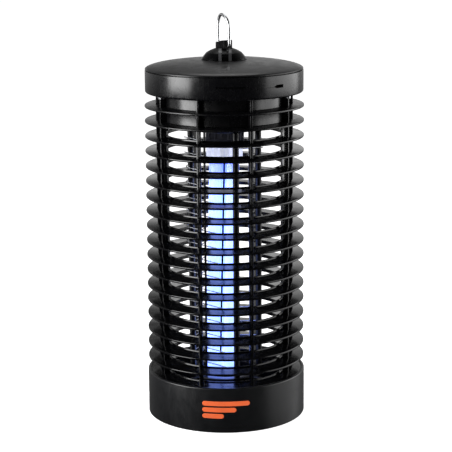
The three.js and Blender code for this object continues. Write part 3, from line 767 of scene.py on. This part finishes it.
HANGER_FRAME = Matrix.Rotation(-math.pi / 2 + HANGER_TURN, 4, "Z")
PIVOT_Z = next(j for j in frame["joints"] if j["name"] == "bail_swing")["pos_m"][2]
DOME_RADIUS, DOME_RIM_Z, DOME_APEX = 20.3 * MM, 318.1 * MM, 328.9 * MM
SHOULDER_RADIUS, SHOULDER_Z = 15.6 * MM, 324.1 * MM
STRAP_SIZE = (2.7 * MM, 16 * MM, 14 * MM)
STRAP_OFFSETS = (-3.4 * MM, 5.3 * MM)
BLOCK_LENGTH, BLOCK_WIDTH = 14 * MM, 8.6 * MM
BLOCK_BOTTOM, BLOCK_BACK_TOP, BLOCK_FRONT_TOP = 320 * MM, 332.9 * MM, 335.3 * MM
WIRE_RADIUS, LEG_OFFSET, LEG_BEND = 1.3 * MM, 8.65 * MM, 2.2 * MM
FRONT_ARCH_Z, BACK_ARCH_Z, ARCH_PEAK_OFFSET = 343.6 * MM, 348.3 * MM, -3.5 * MM


def sloped_block(length, width, bottom, back_top, front_top, fillet):
    """An upright block whose top rises along its length, with rounded edges."""
    bm = bmesh.new()
    outline = [
        (-length / 2, bottom), (length / 2, bottom), (length / 2, front_top),
        (length * 0.1, (back_top + front_top) / 2 + 0.5 * MM), (-length / 2, back_top),
    ]
    near = [bm.verts.new((x, -width / 2, z)) for x, z in outline]
    far = [bm.verts.new((x, width / 2, z)) for x, z in outline]
    bm.faces.new(near)
    bm.faces.new(list(reversed(far)))
    total = len(outline)
    for i in range(total):
        j = (i + 1) % total
        bm.faces.new((near[i], far[i], far[j], near[j]))
    bmesh.ops.recalc_face_normals(bm, faces=bm.faces)
    hard = [e for e in bm.edges if e.calc_face_angle() > math.radians(40)]
    bmesh.ops.bevel(bm, geom=hard, offset=fillet, segments=3, affect="EDGES", profile=0.5)
    mesh = bpy.data.meshes.new("block")
    bm.to_mesh(mesh)
    bm.free()
    return mesh


def dome_outline(extra=0.0):
    """The boss's upper outline from its rim to the axis: a cone-like shoulder under a shallow cap."""
    rise = DOME_APEX - SHOULDER_Z
    sphere = (SHOULDER_RADIUS ** 2 + rise ** 2) / (2 * rise)
    points = [(DOME_RADIUS + extra, DOME_RIM_Z), (17.7 * MM + extra, 321.6 * MM)]
    for share in np.linspace(1, 0, 18):
        r = SHOULDER_RADIUS * share
        points.append((r + extra * share, DOME_APEX - sphere + math.sqrt(sphere ** 2 - r ** 2) + extra))
    return points


def boss_straps():
    """Two straps down the dome's front, coloured grey as a painted highlight for the light they catch:
    slices of a dome a little larger than the boss.
    """
    proud = [Vector((0, 319 * MM)), *[Vector(p) for p in dome_outline(0.9 * MM)]]
    proud[-1].x = 0
    straps = []
    for x in STRAP_OFFSETS:
        swell = revolved("swell", proud, 96, on_axis=True)
        keep = shifted(rounded_box("keep", STRAP_SIZE, 0.5 * MM), x, -16.5 * MM, 325.4 * MM)
        straps.append(boolean(swell, keep, "INTERSECT"))
    piece("boss_straps", joined("straps", straps), "housing", STRAP_PAINTED_HIGHLIGHT)


def boss():
    bottom = BOSS[0].z
    stem, under = 8 * MM, LID_APEX + 0.15 * MM
    base = [
        (0, bottom, 0), (stem, bottom, 0.4 * MM), (stem, under, 0),
        (DOME_RADIUS - 1.2 * MM, under - 0.4 * MM, 0),
    ]
    fillets = {0: 0.5 * MM, 1: 0.5 * MM, 2: 1.6 * MM}
    upper = [(x, z, fillets.get(i, 0)) for i, (x, z) in enumerate(dome_outline())]
    outline = filleted([*base, *upper])
    outline[-1].x = 0
    mesh = revolved("dome", outline, 112, on_axis=True)
    block = sloped_block(BLOCK_LENGTH, BLOCK_WIDTH, BLOCK_BOTTOM, BLOCK_BACK_TOP, BLOCK_FRONT_TOP, 0.5 * MM)
    mesh = boolean(mesh, moved(block, HANGER_FRAME), "UNION")
    boss_straps()
    pad = rounded_box("pad", (4.6 * MM, 1.2 * MM, 5.6 * MM), 0.35 * MM)
    pad = moved(pad, HANGER_FRAME @ Matrix.Translation((-2.2 * MM, -BLOCK_WIDTH / 2, 329.6 * MM)))
    mesh = boolean(mesh, pad, "UNION")
    hole = rod("pivot", WIRE_RADIUS + 0.3 * MM, -20 * MM, 20 * MM, 24)
    place = HANGER_FRAME @ Matrix.Translation((0, 0, PIVOT_Z))
    hole = moved(hole, place @ Matrix.Rotation(math.pi / 2, 4, "Y"))
    mesh = boolean(mesh, hole, "DIFFERENCE")
    piece("boss_shell", mesh, "housing", BOSS_PLASTIC, ["hanger_boss"])


def half_bail(sign, arch_z):
    """Points from a tip in the block, out and up a leg, and over to the arch's peak."""
    tip, rise = 2.5 * MM, BAIL[1].z - WIRE_RADIUS - arch_z
    corner, side = LEG_OFFSET - LEG_BEND, sign * LEG_OFFSET
    points = [Vector((sign * tip, 0, PIVOT_Z)), Vector((sign * (corner - 1 * MM), 0, PIVOT_Z))]
    for a in np.linspace(0, math.pi / 2, 9):
        out, up = corner + LEG_BEND * math.sin(a), LEG_BEND * (1 - math.cos(a))
        points.append(Vector((sign * out, 0, PIVOT_Z + up)))
    straight = np.linspace(PIVOT_Z + LEG_BEND + 1 * MM, arch_z - 1 * MM, 8)
    points += [Vector((side, 0, z)) for z in straight]
    for a in np.linspace(0, math.pi / 2, 22):
        x = ARCH_PEAK_OFFSET + (side - ARCH_PEAK_OFFSET) * math.cos(a)
        points.append(Vector((x, 0, arch_z + rise * math.sin(a))))
    return points


def bail():
    """The wire loop: tips in the block, straight legs, and an arch whose peak leans towards the back leg."""
    back = list(reversed(half_bail(-1, BACK_ARCH_Z)))
    mesh = tube_along("bail", half_bail(1, FRONT_ARCH_Z) + back[1:], WIRE_RADIUS, sides=24)
    piece("bail_wire", moved(mesh, HANGER_FRAME), "bail", BAIL_STEEL, ["hanger_bail"])


# ---- Lamp ----

# The lamp's own axes: origin under its cap, leaning about Y as the CAD lamp does.
LAMP_FRAME = Matrix.Translation((-0.38 * MM, 0, LAMP_CAP_Z)) @ Matrix.Rotation(LAMP_TILT, 4, "Y")
LAMP_LENGTH = LAMP_CAP_Z - LAMP_TIP_Z
GLASS_RADIUS, GLASS_SPACING, BRIDGE_RADIUS = 6.2 * MM, 14.2 * MM, 4.2 * MM
TONGUE_WIDTH, RECESS_WIDTH = 10.4 * MM, 11.4 * MM


def lamp_glass():
    """Two tubes with round tips, joined near the tips by a short bridge."""
    radius, top = GLASS_RADIUS, -0.35 * MM
    tip_centre = radius - LAMP_LENGTH
    swings = np.linspace(-math.pi / 2, 0, 12)
    dome = [Vector((radius * math.cos(a), tip_centre + radius * math.sin(a))) for a in swings]
    dome[0].x = 0
    outline = [*dome, Vector((radius, -0.8 * MM)), Vector((radius - 0.4 * MM, top)), Vector((0, top))]
    left, right = [
        shifted(revolved("glass", outline, 48, on_axis=True), x, 0, 0)
        for x in (-GLASS_SPACING / 2, GLASS_SPACING / 2)
    ]
    bridge = rod("bridge", BRIDGE_RADIUS, -GLASS_SPACING / 2, GLASS_SPACING / 2, 32)
    place = Matrix.Translation((0, 0, tip_centre)) @ Matrix.Rotation(math.pi / 2, 4, "Y")
    glass = boolean(boolean(left, moved(bridge, place), "UNION"), right, "UNION")
    piece("lamp_glass", moved(glass, LAMP_FRAME), "lamp", LAMP_GLASS, ["lamp_tube"])


def lamp_gap_shade():
    """A dark strip between the tubes, in front of their axes: painted shade, a dark sheet standing in for
    the shade in the gap between the tubes.
    """
    height = LAMP_LENGTH - 22 * MM
    gap_shade_strip = rounded_box("gap_shade_strip", (GLASS_SPACING - 2 * GLASS_RADIUS, 3 * MM, height), 0.4 * MM, 2)
    gap_shade_strip = shifted(gap_shade_strip, 0, -3.2 * MM, -height / 2 - 1.5 * MM)
    # Painted shade: this strip is no part of the lamp; it only darkens the gap between the tubes.
    piece("lamp_gap_shade", moved(gap_shade_strip, LAMP_FRAME), "lamp", GRID_PLASTIC)


def lamp_cap():
    """The pale cap over the tubes, grooved front and back, with its tongue."""
    body = rounded_box("cap", (32 * MM, 17 * MM, LAMP_CAP_HEIGHT), 1.8 * MM, 5)
    body = shifted(body, 0, 0, LAMP_CAP_HEIGHT / 2)
    grooves, groove_pitch = 5, 5 * MM
    for side in (-1, 1):
        for i in range(grooves):
            groove = rounded_box("groove", (1.3 * MM, 3 * MM, 11 * MM), 0.4 * MM, 2)
            x = (i - (grooves - 1) / 2) * groove_pitch
            body = boolean(body, shifted(groove, x, side * 9.3 * MM, 8.5 * MM), "DIFFERENCE")
    tongue = rounded_box("tongue", (TONGUE_WIDTH, TONGUE_WIDTH, 13 * MM), 0.6 * MM)
    cap = joined("cap", [body, shifted(tongue, 0, 0, LAMP_CAP_HEIGHT + 6 * MM)])
    cap = moved(cap, LAMP_FRAME)
    piece("lamp_cap_moulding", cap, "lamp", LAMP_CAP_PAINTED_GLOW, ["lamp_cap"])


def lamp():
    lamp_glass()
    lamp_gap_shade()
    lamp_cap()


def socket():
    """The lamp holder: a dark ribbed body over the lamp's cap."""
    width, depth, height = 34 * MM, 22 * MM, 37.3 * MM
    bottom = LAMP_CAP_HEIGHT + 0.3 * MM
    collar_height, rib_depth = 2.2 * MM, 1.6 * MM
    ribs, rib_pitch = 6, 5.6 * MM

    def recessed(mesh):
        recess = rounded_box("recess", (RECESS_WIDTH, RECESS_WIDTH, 15 * MM), 0.3 * MM)
        return boolean(mesh, shifted(recess, 0, 0, bottom + 6.5 * MM), "DIFFERENCE")

    body = rounded_box("socket", (width - 0.4 * MM, depth - 2 * MM, height), 0.8 * MM)
    body = recessed(shifted(body, 0, 0, bottom + height / 2))
    collar = rounded_box("collar", (width, depth, collar_height), 0.7 * MM)
    collar = recessed(shifted(collar, 0, 0, bottom + collar_height / 2))
    parts = [boolean(body, collar, "UNION")]
    for side in (-1, 1):
        for i in range(ribs):
            rib = rounded_box("rib", (1.4 * MM, rib_depth, height - 3 * MM), 0.4 * MM)
            x = (i - (ribs - 1) / 2) * rib_pitch
            parts.append(shifted(rib, x, side * (depth / 2 - 0.9 * MM), bottom + height / 2 + 1 * MM))
    mesh = moved(joined("socket", parts), LAMP_FRAME)
    piece("socket_body", mesh, "housing", SOCKET_PLASTIC, ["lamp_socket"])


# ---- What the CAD already shapes ----

CARRIED_OVER = {
    "lamp_pin_1": BRASS, "lamp_pin_2": BRASS, "socket_retainer": GRID_PLASTIC,
    "circuit_board": BOARD_GREEN, "ballast_choke": CHOKE_STEEL, "grid_transformer": TAPE_PLASTIC,
    "multiplier_capacitor": EPOXY_BLUE, "cord_bush": RUBBER,
    "cap_screw_1": SCREW_STEEL, "cap_screw_2": SCREW_STEEL, "cap_screw_3": SCREW_STEEL,
    "hanger_nut": NUT_PLASTIC,
}


def carried_over():
    for name, material in CARRIED_OVER.items():
        mesh = NODES[name].data
        mesh.materials.clear()
        mesh.materials.append(material)


# ---- Stage ----

CAMERA_PLACE = (0, -1.3613, 0.4581)
LENS_MM, SENSOR_MM = 124.27, 36.0
CAMERA_PITCH, CAMERA_ROLL, CAMERA_YAW = 0.209, -0.0074, 0.0005


def camera():
    """A long lens from a little above, fitted to the stack of louvres."""
    data = bpy.data.cameras.new("camera")
    data.lens, data.sensor_width = LENS_MM, SENSOR_MM
    obj = bpy.data.objects.new("camera", data)
    bpy.context.scene.collection.objects.link(obj)
    pitch, roll, yaw = CAMERA_PITCH, CAMERA_ROLL, CAMERA_YAW
    forward = Vector((math.sin(yaw) * math.cos(pitch), math.cos(yaw) * math.cos(pitch), -math.sin(pitch)))
    right = Vector((math.cos(yaw), -math.sin(yaw), 0))
    up = right.cross(forward)
    rolled_right = math.cos(roll) * right + math.sin(roll) * up
    rolled_up = -math.sin(roll) * right + math.cos(roll) * up
    turn = Matrix((rolled_right, rolled_up, -forward)).transposed().to_4x4()
    obj.matrix_world = Matrix.Translation(CAMERA_PLACE) @ turn
    bpy.context.scene.camera = obj


def area_light(name, place, target, size, power):
    data = bpy.data.lights.new(name, "AREA")
    data.shape = "RECTANGLE"
    data.size, data.size_y = size
    data.energy = power
    obj = bpy.data.objects.new(name, data)
    bpy.context.scene.collection.objects.link(obj)
    direction = Vector(target) - Vector(place)
    obj.matrix_world = Matrix.Translation(place) @ direction.to_track_quat("-Z", "Y").to_matrix().to_4x4()
    obj.visible_camera = False


# The backdrop's levels: (place from bottom to top, or from front to back, level).
LEFT_BACKDROP_BY_HEIGHT = (
    (0.0, 0.05), (0.35, 0.2), (0.48, 0.6), (0.62, 0.85), (0.68, 0.45),
    (0.72, 0.12), (0.80, 0.08), (0.86, 0.35), (1.0, 0.3),
)
RIGHT_BACKDROP_BY_HEIGHT = (
    (0.0, 0.05), (0.35, 0.25), (0.48, 0.6), (0.62, 0.85), (0.68, 0.75),
    (0.73, 0.5), (0.80, 0.28), (0.86, 0.5), (1.0, 0.45),
)
BACKDROP_BY_DEPTH = ((0.0, 0.03), (0.35, 0.05), (0.55, 0.25), (0.8, 0.9), (1.0, 1.0))
BACKDROP_BLEND = 0.06


def world():
    """A dim studio: dark towards the camera, pale behind the subject near the horizon, dim overhead."""
    made = bpy.data.worlds.new("studio")
    bpy.context.scene.world = made
    made.use_nodes = True
    tree = made.node_tree
    place = tree.nodes.new("ShaderNodeTexCoord")
    split = tree.nodes.new("ShaderNodeSeparateXYZ")
    tree.links.new(place.outputs["Generated"], split.inputs[0])

    def ramp(socket, low, high, stops):
        span = tree.nodes.new("ShaderNodeMapRange")
        span.inputs["From Min"].default_value, span.inputs["From Max"].default_value = low, high
        tree.links.new(socket, span.inputs["Value"])
        node = tree.nodes.new("ShaderNodeValToRGB")
        tree.links.new(span.outputs["Result"], node.inputs["Fac"])
        elements = node.color_ramp.elements
        elements[0].position, elements[0].color = stops[0][0], (*[stops[0][1]] * 3, 1)
        elements[1].position, elements[1].color = stops[-1][0], (*[stops[-1][1]] * 3, 1)
        for position, level in stops[1:-1]:
            elements.new(position).color = (level, level, level, 1)
        return node.outputs["Color"]

    def blend(mode, factor, first, second):
        node = tree.nodes.new("ShaderNodeMix")
        node.data_type, node.blend_type = "RGBA", mode
        if isinstance(factor, float):
            node.inputs[0].default_value = factor
        else:
            tree.links.new(factor, node.inputs[0])
        tree.links.new(first, node.inputs[6])
        tree.links.new(second, node.inputs[7])
        return node.outputs[2]

    side = tree.nodes.new("ShaderNodeMapRange")
    side.inputs["From Min"].default_value = -BACKDROP_BLEND
    side.inputs["From Max"].default_value = BACKDROP_BLEND
    tree.links.new(split.outputs["X"], side.inputs["Value"])
    left = ramp(split.outputs["Z"], -0.5, 0.5, LEFT_BACKDROP_BY_HEIGHT)
    right = ramp(split.outputs["Z"], -0.5, 0.5, RIGHT_BACKDROP_BY_HEIGHT)
    depth = ramp(split.outputs["Y"], -1.0, 1.0, BACKDROP_BY_DEPTH)
    colour = blend("MULTIPLY", 1.0, blend("MIX", side.outputs["Result"], left, right), depth)
    tree.links.new(colour, tree.nodes["Background"].inputs["Color"])


# Each light's name, place, target and size in metres, and its power in watts.
LIGHTS = (
    ("left_softbox", (-1.40, -0.60, 0.58), (0, 0, 0.30), (1.0, 1.1), 36),
    ("right_softbox", (1.45, 0.15, 0.50), (0, 0, 0.30), (2.0, 1.0), 17),
    ("right_bounce", (1.45, 0.15, -0.38), (0, 0, -0.38), (2.0, 0.6), 2.8),
    ("overhead", (0.0, 0.5, 1.8), (0, 0, 0.2), (1.0, 1.0), 6),
)
FLOOR_SIZE, FLOOR_GAP, FLOOR_GLOW = 24, 0.2 * MM, 0.93


def stage():
    bpy.ops.mesh.primitive_plane_add(size=FLOOR_SIZE, location=(0, 0, FLOOR_Z - FLOOR_GAP))
    floor = bpy.context.object
    floor.name = "floor"
    floor.visible_glossy = False
    n = Nodes("floor_white")
    shade = n.span(n.noise(3.0), 0.78, 0.82)
    colour = n.add("ShaderNodeCombineColor", {0: shade, 1: shade, 2: shade})
    n.shader.inputs["Specular IOR Level"].default_value = 0.0
    n.shader.inputs["Emission Strength"].default_value = FLOOR_GLOW
    floor.data.materials.append(n.finish(Base_Color=colour, Roughness=0.9, Emission_Color=(1, 1, 1, 1)))
    world()
    for light in LIGHTS:
        area_light(*light)
    settings = bpy.context.scene.view_settings
    settings.view_transform = "Standard"
    settings.look = "None"


camera()
stage()
tray()
cage()
housing()
rim()
lid()
boss()
bail()
grid()
lamp()
socket()
carried_over()
